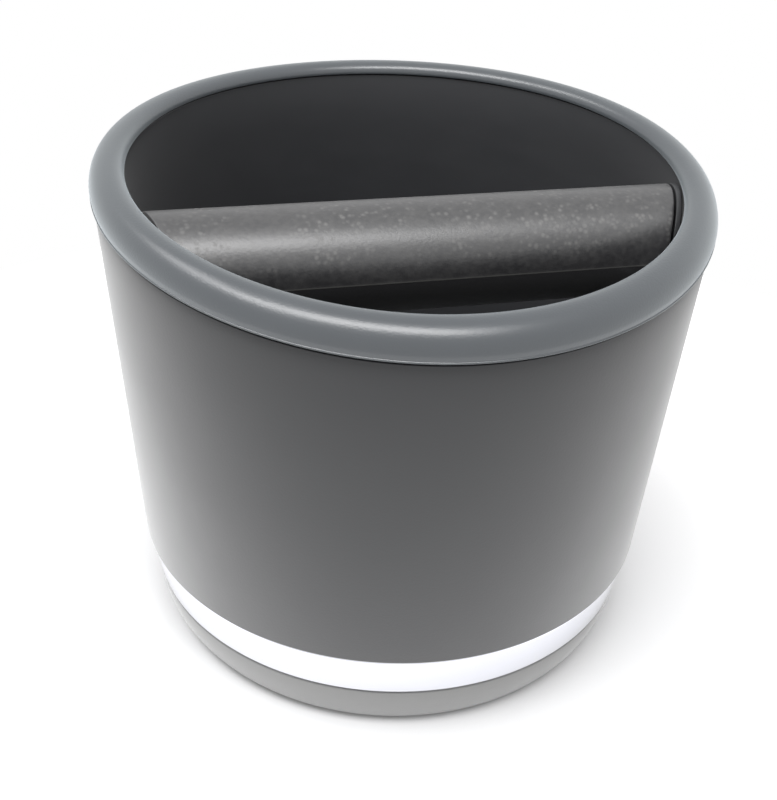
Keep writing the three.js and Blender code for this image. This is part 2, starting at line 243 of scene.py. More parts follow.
def makeBarRubber(look):
    material = freshMaterial("bloomed knock rubber")
    tree = material.node_tree
    place = addNode(tree, "ShaderNodeTexCoord").outputs["Object"]
    height = addNode(tree, "ShaderNodeSeparateXYZ", inputs={0: place}).outputs["Z"]
    cells = addNode(tree, "ShaderNodeTexVoronoi", inputs={
        "Vector": place, "Scale": 1 / (look["dotSpacing"] * mm), "Randomness": 1.0,
    })
    edge = look["dotRadius"] / look["dotSpacing"]
    dots = spread(tree, cells.outputs["Distance"], 1, 0, edge * look["dotCore"], edge)
    chosen = addNode(tree, "ShaderNodeSeparateColor", inputs={"Color": cells.outputs["Color"]}).outputs[0]
    some = maths(tree, "LESS_THAN", chosen, look["dotShare"])
    drifts = spread(tree, objectNoise(tree, look["driftSize"]), 0, 1, *look["driftBounds"])
    faintest = look["cloudFaintest"]
    clouds = spread(tree, objectNoise(tree, look["cloudSize"]), faintest, 1, *look["cloudBounds"])
    onTop = spread(tree, height, 0, 1, *[level * mm for level in look["bloomHeights"]])
    where = maths(tree, "MULTIPLY", maths(tree, "MULTIPLY", drifts, clouds), onTop)
    bloom = maths(tree, "MULTIPLY", maths(tree, "MULTIPLY", dots, some), where)
    wiped = objectNoise(tree, look["smudge"], 3, 0.6)
    smudge = spread(tree, wiped, 0, look["smudgeStrength"], *look["smudgeBounds"])
    flecks = objectNoise(tree, look["mottle"])
    mottle = spread(tree, flecks, 0, look["mottleStrength"], *look["mottleBounds"])
    smudge = maths(tree, "ADD", smudge, mottle)
    bare = blendColours(tree, smudge, colourOf(look["colour"]), colourOf(look["colourBloom"]))
    # painted shade: the lower half, which faces down into the dark bin, is a little darker, up to the parting
    # line
    line = bar["height"] + bar["radius"] * math.sin(math.radians(bar["partingDegrees"]))
    blend = look["halvesBlend"]
    above = spread(tree, height, 0, 1, (line - blend) * mm, (line + blend) * mm)
    shadedHalves = blendColours(tree, above, colourOf(look["colourShadedBelow"]), bare)
    # painted highlight: a pale stripe along the parting line, standing for the light its ridge catches
    away = maths(tree, "ABSOLUTE", maths(tree, "SUBTRACT", height, line * mm))
    partingHighlight = spread(tree, away, 1, 0, look["partingHighlightWidth"] * mm / 2, look["partingHighlightWidth"] * mm)
    rubber = blendColours(tree, partingHighlight, shadedHalves, colourOf(look["colourPartingHighlight"]))
    paleness = maths(tree, "MULTIPLY", bloom, look["bloomStrength"])
    dryness = maths(tree, "ADD", bloom, smudge)
    shader = addNode(tree, "ShaderNodeBsdfPrincipled", inputs={
        "Base Color": blendColours(tree, paleness, rubber, colourOf(look["colourBloom"])),
        "Roughness": spread(tree, dryness, look["roughness"], look["roughnessBloom"]),
        "IOR": look["ior"],
        "Specular IOR Level": look["specular"],
        "Sheen Weight": look["sheen"],
        "Sheen Roughness": look["sheenRoughness"],
        "Normal": bumped(tree, objectNoise(tree, look["grain"], 3), look["grainDepth"]),
    })
    return finishMaterial(material, shader.outputs[0])


# zinc-plated steel: a cool grey metal with fine drawn lines
zincSteel = {
    "colour": "#b4b6b8", "colourDark": "#a6a8ab",
    "roughness": 0.36, "roughnessDrift": 0.06,
    "line": 0.5, "lineStretch": (0.15, 1, 1), "lineDepth": 0.01,
}


def makeZincSteel(look):
    material = freshMaterial("zinc-plated steel")
    tree = material.node_tree
    lines = objectNoise(tree, look["line"], 3, 0.6, look["lineStretch"])
    shader = addNode(tree, "ShaderNodeBsdfPrincipled", inputs={
        "Base Color": blendColours(tree, lines, colourOf(look["colour"]), colourOf(look["colourDark"])),
        "Metallic": 1.0,
        "Roughness": drifting(tree, lines, look["roughness"], look["roughnessDrift"]),
        "Normal": bumped(tree, lines, look["lineDepth"]),
    })
    return finishMaterial(material, shader.outputs[0])


bar = {
    "offset": 15.1,         # its axis in front of the middle
    "height": 93.6,
    "radius": 11.5,
    "bore": 7.0,
    "reach": 56.25,         # from the middle to the sleeve's end, which follows the round wall
    "edge": 0.35,
    "partingDegrees": -3,   # the fine flash line, a little below the front and above the back
    "partingWidth": 0.5,
    "partingHeight": 0.09,
    "around": 256, "along": 96, "endSteps": 5,
    "cutSides": 96,         # of the round cuts that make room for it
}

finishes = {
    "shell_plastic": mouldedMaterial("satin moulded ABS", shellAbs),
    "soft_rim": mouldedMaterial("soft TPE rim", rimTpe),
    "liner_plastic": mouldedMaterial("matt moulded ABS liner", linerAbs),
    "chrome": makeChromePlate(chromePlate),
    "base_plastic": mouldedMaterial("coarse moulded ABS", baseAbs),
    "foot_rubber": mouldedMaterial("moulded foot rubber", footRubber),
    "bar_rubber": makeBarRubber(barRubber),
    "cap_plastic": mouldedMaterial("moulded nylon", capNylon),
    "steel": makeZincSteel(zincSteel),
}

# making and handing over a piece


def shown(name, mesh):
    piece = bpy.data.objects.new(name, mesh)
    bpy.context.scene.collection.objects.link(piece)
    return piece


def settled(maker, name):
    # what the modifiers make, as a plain mesh; the maker goes
    bpy.context.view_layer.update()
    graph = bpy.context.evaluated_depsgraph_get()
    mesh = bpy.data.meshes.new_from_object(maker.evaluated_get(graph))
    bpy.data.objects.remove(maker)
    mesh.name = name
    return shown(name, mesh)


def tidied(piece):
    # closes the hair-thin faces that a cut or a rounding leaves
    mesh = bmesh.new()
    mesh.from_mesh(piece.data)
    bmesh.ops.remove_doubles(mesh, verts=mesh.verts, dist=samePoint["cut"] * mm)
    bmesh.ops.dissolve_degenerate(mesh, edges=mesh.edges, dist=samePoint["cut"] * mm)
    mesh.to_mesh(piece.data)
    mesh.free()
    return piece


def combined(piece, tool, operation):
    cut = piece.modifiers.new("cut", "BOOLEAN")
    cut.operation = operation
    cut.solver = "EXACT"
    cut.object = tool
    result = settled(piece, piece.name)
    bpy.data.objects.remove(tool)
    return tidied(result)


def softened(piece, width):
    # rounds the edges that turn by more than the angle
    bevel = piece.modifiers.new("edges", "BEVEL")
    bevel.width = width * mm
    bevel.segments = 3
    bevel.limit_method = "ANGLE"
    bevel.angle_limit = math.radians(40)
    return tidied(settled(piece, piece.name))


def skin(name, rings, closed=False):
    # a surface through rings of points in millimetres; a ring of one point is a pole
    mesh = bmesh.new()
    rows = [[mesh.verts.new(Vector(point) * mm) for point in ring] for ring in rings]
    if closed:
        rows.append(rows[0])
    for first, second in zip(rows, rows[1:]):
        count = max(len(first), len(second))
        for index in range(count):
            after = (index + 1) % count
            if len(first) == 1:
                mesh.faces.new((first[0], second[after], second[index]))
            elif len(second) == 1:
                mesh.faces.new((first[index], first[after], second[0]))
            else:
                mesh.faces.new((first[index], first[after], second[after], second[index]))
    return shown(name, finishedMesh(name, mesh))


def finishedMesh(name, mesh):
    bmesh.ops.remove_doubles(mesh, verts=mesh.verts, dist=samePoint["skin"] * mm)
    bmesh.ops.recalc_face_normals(mesh, faces=mesh.faces)
    data = bpy.data.meshes.new(name)
    mesh.to_mesh(data)
    mesh.free()
    return data


def handOver(piece, body, slot, replaced, sharpDegrees=35):
    # the finish, smooth shading up to an angle, and what the piece rides on and stands for
    data = piece.data
    data.materials.clear()
    data.materials.append(finishes[slot])
    data.polygons.foreach_set("material_index", [0] * len(data.polygons))
    data.shade_smooth()
    data.set_sharp_from_angle(angle=math.radians(sharpDegrees))
    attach(piece, body)
    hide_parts(*replaced)
    print("  ", piece.name, len(data.polygons), "faces")


def quarterTurn(steps):
    return [math.pi / 2 * step / steps for step in range(steps + 1)]


# turned pieces: an outline of radius and height, swept round the middle by Geometry Nodes

topLine = {"tiltDegrees": 4.69, "arcRadius": 825}      # the rim's fall towards the front, mm
sweep = {"steps": 288, "pathRadius": 40}


def namedInputs(tree, kinds):
    for name, kind in kinds.items():
        tree.interface.new_socket(name=name, in_out="INPUT", socket_type="NodeSocket" + kind)
    return addNode(tree, "NodeGroupInput").outputs


def endTree(tree, geometry, finish):
    tree.interface.new_socket(name="Result", in_out="OUTPUT", socket_type="NodeSocketGeometry")
    whole = addNode(tree, "GeometryNodeRealizeInstances", inputs={"Geometry": geometry}).outputs[0]
    finished = addNode(tree, "GeometryNodeSetMaterial", inputs={
        "Geometry": whole, "Material": finish,
    }).outputs[0]
    addNode(tree, "NodeGroupOutput", inputs={"Result": finished})
    return tree


def buildTurnedTree():
    tree = bpy.data.node_groups.new("turned about the middle", "GeometryNodeTree")
    tree.is_modifier = True
    given = namedInputs(tree, {
        "Outline": "Geometry", "Steps": "Int", "Path radius": "Float", "Tilt": "Float", "Arc radius": "Float",
        "Finish": "Material",
    })
    path = addNode(tree, "GeometryNodeCurvePrimitiveCircle", inputs={
        "Resolution": given["Steps"], "Radius": given["Path radius"],
    }).outputs["Curve"]
    level = addNode(tree, "GeometryNodeSetCurveNormal", {"mode": "Z_UP"}, {"Curve": path}).outputs[0]
    outline = addNode(tree, "GeometryNodeMeshToCurve", inputs={"Mesh": given["Outline"]}).outputs[0]
    swept = addNode(tree, "GeometryNodeCurveToMesh", inputs={
        "Curve": level, "Profile Curve": outline,
    }).outputs[0]

    # lift to the sloping top line, moved out or in along a tapered wall
    place = addNode(tree, "GeometryNodeInputPosition").outputs[0]
    apart = addNode(tree, "ShaderNodeSeparateXYZ", inputs={0: place}).outputs
    number = {"data_type": "FLOAT"}
    liftShare = addNode(tree, "GeometryNodeInputNamedAttribute", number, {"Name": "liftShare"}).outputs[0]
    wallTaper = addNode(tree, "GeometryNodeInputNamedAttribute", number, {"Name": "wallTaper"}).outputs[0]
    sloped = maths(tree, "MULTIPLY", maths(tree, "TANGENT", given["Tilt"]), apart["Y"])
    sag = maths(tree, "DIVIDE", maths(tree, "MULTIPLY", apart["Y"], apart["Y"]),
                maths(tree, "MULTIPLY", given["Arc radius"], 2))
    lift = maths(tree, "MULTIPLY", maths(tree, "SUBTRACT", sloped, sag), liftShare)
    radius = maths(tree, "SQRT", maths(tree, "ADD", maths(tree, "MULTIPLY", apart["X"], apart["X"]),
                                       maths(tree, "MULTIPLY", apart["Y"], apart["Y"])))
    outwards = maths(tree, "MULTIPLY", lift, wallTaper)
    outwards = maths(tree, "DIVIDE", outwards, maths(tree, "MAXIMUM", radius, mm))
    offset = addNode(tree, "ShaderNodeCombineXYZ", inputs={
        "X": maths(tree, "MULTIPLY", apart["X"], outwards),
        "Y": maths(tree, "MULTIPLY", apart["Y"], outwards),
        "Z": lift,
    }).outputs[0]
    lifted = addNode(tree, "GeometryNodeSetPosition", inputs={"Geometry": swept, "Offset": offset}).outputs[0]
    closed = addNode(tree, "GeometryNodeMergeByDistance", inputs={
        "Geometry": lifted, "Distance": samePoint["turned"] * mm,
    }).outputs[0]
    return endTree(tree, closed, given["Finish"])


def buildCircleTree():
    # sets copies of a small piece on a circle about the middle
    tree = bpy.data.node_groups.new("set on a circle", "GeometryNodeTree")
    tree.is_modifier = True
    given = namedInputs(tree, {
        "Piece": "Geometry", "Count": "Int", "Circle radius": "Float", "First angle": "Float",
        "Finish": "Material",
    })
    circle = addNode(tree, "GeometryNodeMeshCircle", inputs={
        "Vertices": given["Count"], "Radius": given["Circle radius"],
    }).outputs[0]
    angle = addNode(tree, "ShaderNodeCombineXYZ", inputs={"Z": given["First angle"]}).outputs[0]
    turned = addNode(tree, "GeometryNodeTransform", inputs={"Geometry": circle, "Rotation": angle}).outputs[0]
    placed = addNode(tree, "GeometryNodeInstanceOnPoints", inputs={
        "Points": turned, "Instance": given["Piece"],
    }).outputs[0]
    return endTree(tree, placed, given["Finish"])


turnedTree = buildTurnedTree()
circleTree = buildCircleTree()


def throughTree(maker, tree, values, name):
    # every input is set by its socket's identifier before the object is first evaluated
    steps = maker.modifiers.new(tree.name, "NODES")
    steps.node_group = tree
    for item in tree.interface.items_tree:
        if item.in_out == "INPUT" and item.name in values:
            steps[item.identifier] = values[item.name]
    return settled(maker, name)


def corner(radius, height, rounding=0.0, lift=0, taper=0.0):
    # one point of an outline; lift 1 carries it up to the sloping top line
    return {"at": Vector((radius, height)), "rounding": rounding, "lift": lift, "taper": taper}


def arcCorners(middle, width, height, fromDegrees, toDegrees, steps, lift=0):
    # part of an ellipse as outline points
    points = []
    for step in range(steps + 1):
        angle = math.radians(fromDegrees + (toDegrees - fromDegrees) * step / steps)
        points.append(corner(middle[0] + width * math.cos(angle), middle[1] + height * math.sin(angle),
                             0, lift))
    return points


def roundedOutline(corners, closed, steps=4):
    # every corner with a rounding becomes a small arc that touches both its sides
    points = []
    for index, this in enumerate(corners):
        inside = closed or 0 < index < len(corners) - 1
        if not this["rounding"] or not inside:
            points.append(this)
            continue
        before = (corners[index - 1]["at"] - this["at"]).normalized()
        after = (corners[(index + 1) % len(corners)]["at"] - this["at"]).normalized()
        half = before.angle(after) / 2
        reach = this["rounding"] / math.tan(half)
        middle = this["at"] + (before + after).normalized() * this["rounding"] / math.sin(half)
        start, end = this["at"] + before * reach - middle, this["at"] + after * reach - middle
        for step in range(steps + 1):
            towards = start.slerp(end, step / steps)      # of unit length
            points.append({**this, "at": middle + towards * this["rounding"]})
    return points


def turnedSolid(name, corners, slot, closed=True):
    # an outline that isn't closed starts and ends on the axis
    points = roundedOutline(corners, closed)
    sketch = bpy.data.meshes.new(name)
    edges = [(index, index + 1) for index in range(len(points) - 1)]
    if closed:
        edges.append((len(points) - 1, 0))
    # the sweep lays the sketch's +X outwards and its +Y downwards
    places = [((point["at"].x - sweep["pathRadius"]) * mm, -point["at"].y * mm, 0) for point in points]
    sketch.from_pydata(places, edges, [])
    for attribute, key in (("liftShare", "lift"), ("wallTaper", "taper")):
        layer = sketch.attributes.new(attribute, "FLOAT", "POINT")
        layer.data.foreach_set("value", [point[key] for point in points])
    piece = throughTree(shown(name, sketch), turnedTree, {
        "Steps": sweep["steps"],
        "Path radius": sweep["pathRadius"] * mm,
        "Tilt": math.radians(topLine["tiltDegrees"]),
        "Arc radius": topLine["arcRadius"] * mm,
        "Finish": finishes[slot],
    }, name)
    mesh = bmesh.new()
    mesh.from_mesh(piece.data)
    piece.data = finishedMesh(name, mesh)
    return piece


# shapes that others are cut with or joined to


def circlePoints(radius, steps):
    return [(radius * math.cos(2 * math.pi * step / steps), radius * math.sin(2 * math.pi * step / steps))
            for step in range(steps)]


def upright(name, outline, steps):
    # an outline of radius and height turned about its own axis; a radius of 0 is a pole
    rings = [[(0, 0, height)] if radius == 0 else [(x, y, height) for x, y in circlePoints(radius, steps)]
             for radius, height in outline]
    return skin(name, rings)


def column(name, bottomRadius, topRadius, bottom, top, steps=sweep["steps"]):
    return upright(name, [(0, bottom), (bottomRadius, bottom), (topRadius, top), (0, top)], steps)


def besideBar(x, across, over):
    # a place given from the bar's axis
    return x, across - bar["offset"], over + bar["height"]


def alongBar(name, outline, fromX, toX):
    # an outline drawn across the bar, as a solid from one x to another
    middle = [sum(values) / len(outline) for values in zip(*outline)]
    return skin(name, [
        [besideBar(fromX, *middle)],
        [besideBar(fromX, *point) for point in outline],
        [besideBar(toX, *point) for point in outline],
        [besideBar(toX, *middle)],
    ])


def blockOutline(halfWidth, bottom, top, cornerRadius, steps=8):
    # a box with two round lower corners
    points = [(halfWidth, top), (-halfWidth, top)]
    for side, start in ((-1, 180), (1, 270)):
        for step in range(steps + 1):
            angle = math.radians(start + 90 * step / steps)
            points.append((side * (halfWidth - cornerRadius) + cornerRadius * math.cos(angle),
                           bottom + cornerRadius + cornerRadius * math.sin(angle)))
    return points


print("foot, band and base")

footHigh = boxOf("rubber_foot")[1]
chromeLow, chromeHigh = boxOf("chrome_band")
tubLow, tubHigh = boxOf("base_tub")
shellHigh = boxOf("outer_shell")[1]
rimHigh = boxOf("rim_ring")[1]
gap = 0.3                                # mm that the solids keep between them
past = 80                                # mm, beyond the whole box, for cutting shapes

foot = {
    "contactRadius": 53.1, "innerRadius": 45.0, "padThickness": 4.7,
    "turnDegrees": 65,      # how far its side turns under
    "stopDegrees": 2,       # short of upright, where the upper edge's round starts
    "edge": 0.3, "innerEdge": 0.6, "seatEdge": 0.2, "padEdge": 0.4,
    "sideSteps": 24,
}


def makeFoot(shape):
    turn = math.radians(shape["turnDegrees"])
    width = (footHigh.x - shape["contactRadius"]) / (1 - math.cos(turn))
    height = footHigh.z / math.sin(turn)
    side = arcCorners((footHigh.x - width, footHigh.z), width, height,
                      -shape["turnDegrees"], -shape["stopDegrees"], shape["sideSteps"])
    lip = tubHigh.x + gap
    corners = [
        corner(shape["innerRadius"], 0, shape["innerEdge"]),
        {**side[0], "rounding": shape["edge"]},
        *side[1:],
        corner(footHigh.x, footHigh.z, shape["edge"]),
        corner(lip, footHigh.z, shape["seatEdge"]),
        corner(lip, shape["padThickness"], shape["seatEdge"]),
        corner(shape["innerRadius"], shape["padThickness"], shape["padEdge"]),
    ]
    ring = turnedSolid("foot_ring", corners, "foot_rubber")
    handOver(ring, "bin", "foot_rubber", ["rubber_foot"])


chrome = {"lean": 1.5, "edge": 1.0, "innerEdge": 0.2}


def makeChrome(shape):
    inner = tubHigh.x + gap
    corners = [
        corner(inner, chromeLow.z, shape["innerEdge"]),
        corner(chromeHigh.x - shape["lean"], chromeLow.z, shape["edge"]),
        corner(chromeHigh.x, chromeHigh.z, shape["edge"]),
        corner(inner, chromeHigh.z, shape["innerEdge"]),
    ]
    ring = turnedSolid("chrome_ring", corners, "chrome")
    handOver(ring, "bin", "chrome", ["chrome_band"])


screws = {
    "count": 4, "circleRadius": 40.0, "firstDegrees": 45,
    "shaft": 1.5, "length": 11.0, "tip": 1.5,
    "head": 3.25, "headHeight": 2.3, "headEdge": 0.9,
    "crossLength": 3.6, "crossWidth": 0.9, "crossDepth": 1.2, "crossTaper": 0.7,
    "sides": 48, "crownSteps": 6,
}
screwHole = screws["shaft"] + gap


def roundTheBase(piece, name, slot):
    # the screws' places serve for their holes and bosses too
    return throughTree(piece, circleTree, {
        "Count": screws["count"],
        "Circle radius": screws["circleRadius"] * mm,
        "First angle": math.radians(screws["firstDegrees"]),
        "Finish": finishes[slot],
    }, name)


def makeScrews(shape):
    seatHeight = tubLow.z - gap         # the heads lie under the base
    under = seatHeight - shape["headHeight"]
    rounded = shape["headHeight"] - shape["headEdge"]
    crown = [(shape["head"] - shape["headEdge"] + shape["headEdge"] * math.sin(angle),
              under + rounded * (1 - math.cos(angle))) for angle in quarterTurn(shape["crownSteps"])]
    top = seatHeight + shape["length"]
    screw = upright("base_screws", [
        (0, under), *crown, (shape["head"], seatHeight), (shape["shaft"], seatHeight),
        (shape["shaft"], top - shape["tip"]), (0, top),
    ], shape["sides"])
    for longX, longY in ((1, 0), (0, 1)):
        halfX = (shape["crossLength"] if longX else shape["crossWidth"]) / 2
        halfY = (shape["crossLength"] if longY else shape["crossWidth"]) / 2
        corners = [(-halfX, -halfY), (halfX, -halfY), (halfX, halfY), (-halfX, halfY)]
        start, end = under - gap, under + shape["crossDepth"]
        rings = [[(x * share, y * share, height) for x, y in corners]
                 for height, share in ((start, 1), (end, shape["crossTaper"]))]
        arm = skin("cross_arm", [[(0, 0, start)], *rings, [(0, 0, end)]])
        screw = combined(screw, arm, "DIFFERENCE")
    replaced = [f"base_screw_{number + 1}" for number in range(shape["count"])]
    handOver(roundTheBase(screw, "base_screws", "steel"), "bin", "steel", replaced)


base = {"floor": 2.5, "wall": 2.4, "edge": 0.5}


def makeBase(shape):
    floorTop = tubLow.z + shape["floor"]
    inside = tubHigh.x - shape["wall"]
    cup = turnedSolid("base_cup", [
        corner(0, tubLow.z),
        corner(tubHigh.x, tubLow.z, shape["edge"]),
        corner(tubHigh.x, tubHigh.z, shape["edge"]),
        corner(inside, tubHigh.z, shape["edge"]),
        corner(inside, floorTop, shape["edge"]),
        corner(0, floorTop),
    ], "base_plastic", closed=False)
    hole = column("screw_hole", screwHole, screwHole, tubLow.z - gap, floorTop + gap, screws["sides"])
    cup = combined(cup, roundTheBase(hole, "screw_holes", "base_plastic"), "DIFFERENCE")
    handOver(cup, "bin", "base_plastic", ["base_tub"])


makeFoot(foot)
makeChrome(chrome)
makeScrews(screws)
makeBase(base)

print("body and rim")

shell = {
    "bottomRadius": 60.0, "bottomHeight": 22.6, "topHeight": 103.0, "wall": 2.6,
    "flange": 2.5, "flangeWidth": 25.4,
    "edge": 0.35, "topEdge": 0.15, "flangeEdge": 0.5, "innerCorner": 0.8,
    "bossRadius": 3.5, "bossBottom": 7.8, "boreTop": 17.0, "bossSides": 64,
}
shellTaper = (shellHigh.x - shell["bottomRadius"]) / (shell["topHeight"] - shell["bottomHeight"])


def shellInside(height):
    return shell["bottomRadius"] + shellTaper * (height - shell["bottomHeight"]) - shell["wall"]


def makeShell(shape):
    flangeTop = shape["bottomHeight"] + shape["flange"]
    flangeEnd = shellInside(shape["bottomHeight"]) - shape["flangeWidth"]
    body = turnedSolid("body_shell", [
        corner(flangeEnd, shape["bottomHeight"], shape["flangeEdge"]),
        corner(shape["bottomRadius"], shape["bottomHeight"], shape["edge"]),
        corner(shellHigh.x, shape["topHeight"], shape["topEdge"], 1, shellTaper),
        corner(shellHigh.x - shape["wall"], shape["topHeight"], shape["topEdge"], 1, shellTaper),
        corner(shellInside(flangeTop), flangeTop, shape["innerCorner"]),
        corner(flangeEnd, flangeTop, shape["flangeEdge"]),
    ], "shell_plastic")
    bossTop = shape["bottomHeight"] + shape["flange"] / 2
    boss = upright("screw_boss", [
        (0, shape["boreTop"]), (screwHole, shape["boreTop"]), (screwHole, shape["bossBottom"]),
        (shape["bossRadius"], shape["bossBottom"]), (shape["bossRadius"], bossTop), (0, bossTop),
    ], shape["bossSides"])
    body = combined(body, roundTheBase(boss, "screw_bosses", "shell_plastic"), "UNION")
    handOver(body, "bin", "shell_plastic", ["outer_shell"])


rim = {
    "shadowGap": 0.9,
    "bead": 0.2,            # the round of the crisp line along its lower edge
    "beadDegrees": 70,      # how far up the bead goes round
    "groove": 0.15,         # behind the bead
    "edgeHeight": 1.34, "roundWidth": 4.3, "roundHeight": 4.62,
    "lipRoundHeight": 2.31, "lipFace": 0.3, "lipRadius": 57.9, "lipEdge": 0.12,
    "skirtDepth": 5.0, "skirtWall": 1.0, "skirtEdge": 0.3, "shoulderEdge": 0.2,
    "beadSteps": 8, "crownSteps": 24, "lipSteps": 16,
}
rimHeight = shell["topHeight"] + rim["shadowGap"]


def makeRim(shape):
    widest = rimHeight + shape["edgeHeight"]
    crest = widest + shape["roundHeight"]
    crestRadius = rimHigh.x - shape["roundWidth"]
    lipTop = crest - shape["lipRoundHeight"]
    lipUnder = lipTop - shape["lipFace"]
    lipWidth = crestRadius - shape["lipRadius"]
    skirtOuter = shellHigh.x - shell["wall"] - gap
    skirtInner = skirtOuter - shape["skirtWall"]
    skirtEnd = rimHeight - shape["skirtDepth"]
    narrower = shellTaper * shape["skirtDepth"]
    bead = shape["bead"]
    ring = turnedSolid("soft_rim_ring", [
        *arcCorners((rimHigh.x - bead, rimHeight + bead), bead, bead,
                    -90, shape["beadDegrees"], shape["beadSteps"], 1),
        corner(rimHigh.x - shape["groove"], rimHeight + 2 * bead, 0, 1),
        *arcCorners((crestRadius, widest), shape["roundWidth"], shape["roundHeight"],
                    0, 90, shape["crownSteps"], 1),
        *arcCorners((crestRadius, lipTop), lipWidth, shape["lipRoundHeight"],
                    90, 180, shape["lipSteps"], 1)[1:],
        corner(shape["lipRadius"], lipUnder, shape["lipEdge"], 1),
        corner(skirtInner, lipUnder, shape["skirtEdge"], 1),
        corner(skirtInner - narrower, skirtEnd, shape["skirtEdge"], 1, shellTaper),
        corner(skirtOuter - narrower, skirtEnd, shape["skirtEdge"], 1, shellTaper),
        corner(skirtOuter, rimHeight, shape["shoulderEdge"], 1),
    ], "soft_rim")
    handOver(ring, "bin", "soft_rim", ["rim_ring"])


makeShell(shell)
makeRim(rim)

print("bin")

liner = {
    "topRadius": 60.0, "topHeight": 106.95, "bottomHeight": 25.4, "wall": 1.7, "floor": 2.0,
    "cornerRadius": 8.0, "bendSteps": 16, "edge": 0.4, "footEdge": 0.6,
    "wallRings": (98, 96, 94, 92),      # heights of rings that keep the shading even below the rim
}
linerBottomRadius = shellInside(liner["bottomHeight"]) - gap
linerTaper = (liner["topRadius"] - linerBottomRadius) / (liner["topHeight"] - liner["bottomHeight"])


def linerInside(height):
    return liner["topRadius"] - liner["wall"] - linerTaper * (liner["topHeight"] - height)


def insideLiner(clearance):
    bottom, top = liner["bottomHeight"] + liner["floor"], rimHigh.z
    return column("inside_liner", linerInside(bottom) - clearance, linerInside(top) - clearance, bottom, top)


seat = {"depth": 6.0, "floor": 3.0, "arm": 3.2, "armDrop": 1.0, "cornerRadius": 3.0, "edge": 0.5}
seatRadius = bar["radius"] + gap
seatReach = linerInside(bar["height"]) - seat["depth"]
bracket = {"wall": 1.8, "plate": 1.5, "reveal": 2.0, "slopeDegrees": 45, "barRoom": 0.8, "edge": 0.35}


def makeBrackets(shape):
    # a pocket round each seat, on a sloping underside that runs out in the wall; the pocket goes
    # on into the wall too, and the cup closes it
    top = bar["height"] - seat["armDrop"] - shape["reveal"]
    floorTop = bar["height"] - seatRadius - seat["floor"] - gap
    halfWidth = seatRadius + seat["arm"] + gap + shape["wall"]
    reach = seatReach - gap - shape["plate"]
    root = linerInside(top) + liner["wall"] / 2
    slope = (root - reach) * math.tan(math.radians(shape["slopeDegrees"]))
    brackets = turnedSolid("brackets", [
        corner(reach, floorTop - shape["plate"]),
        corner(root - linerTaper * (top - floorTop), floorTop - shape["plate"] - slope),
        corner(root, top),
        corner(reach, top),
    ], "liner_plastic")
    sides = blockOutline(halfWidth, -bar["height"], bar["radius"], shape["wall"])
    brackets = combined(brackets, alongBar("bracket_sides", sides, -past, past), "INTERSECT")
    hollow = blockOutline(halfWidth - shape["wall"], floorTop - bar["height"], bar["radius"],
                          seat["cornerRadius"] + gap)
    pocket = alongBar("pockets", hollow, -past, past)
    between = column("between_plates", seatReach - gap, seatReach - gap, 0, 2 * past)
    pocket = combined(pocket, between, "DIFFERENCE")
    barRoom = circlePoints(bar["radius"] + shape["barRoom"], bar["cutSides"])
    pocket = combined(pocket, alongBar("bar_room", barRoom, -past, past), "UNION")
    return softened(combined(brackets, pocket, "DIFFERENCE"), shape["edge"])


def makeLiner(shape):
    floorTop = shape["bottomHeight"] + shape["floor"]
    bend = floorTop + shape["cornerRadius"]
    cup = turnedSolid("liner_cup", [
        corner(0, shape["bottomHeight"]),
        corner(linerBottomRadius, shape["bottomHeight"], shape["footEdge"]),
        corner(shape["topRadius"], shape["topHeight"], shape["edge"], 1, linerTaper),
        corner(shape["topRadius"] - shape["wall"], shape["topHeight"], shape["edge"], 1, linerTaper),
        *[corner(linerInside(height), height) for height in shape["wallRings"]],
        *arcCorners((linerInside(bend) - shape["cornerRadius"], bend), shape["cornerRadius"],
                    shape["cornerRadius"], 0, -90, shape["bendSteps"]),
        corner(0, floorTop),
    ], "liner_plastic", closed=False)
    cup = combined(cup, makeBrackets(bracket), "UNION")
    handOver(cup, "bin", "liner_plastic", ["bin_liner"])


def makeSeat(shape, side, name, node):
    # a soft U that the bar's end lies in
    outline = blockOutline(seatRadius + shape["arm"], -seatRadius - shape["floor"], -shape["armDrop"],
                           shape["cornerRadius"])
    block = alongBar(name, outline, 0, side * past)
    block = combined(block, insideLiner(gap), "INTERSECT")
    hollow = alongBar("bar_hollow", circlePoints(seatRadius, bar["cutSides"]), -past, past)
    block = combined(block, hollow, "DIFFERENCE")
    block = combined(block, column("in_front", seatReach, seatReach, 0, 2 * past), "DIFFERENCE")
    handOver(softened(block, shape["edge"]), "bin", "bar_rubber", [node])


makeLiner(liner)
makeSeat(seat, -1, "u_seat_left", "bar_seat_left")
makeSeat(seat, 1, "u_seat_right", "bar_seat_right")

print("knock bar")


def roundBar(radius, angle, reach):
    # a point at an angle from the front over the top, on a wall round the middle
    across = -radius * math.cos(angle)
    over = radius * math.sin(angle)
    return besideBar(math.sqrt(reach ** 2 - (across - bar["offset"]) ** 2), across, over)


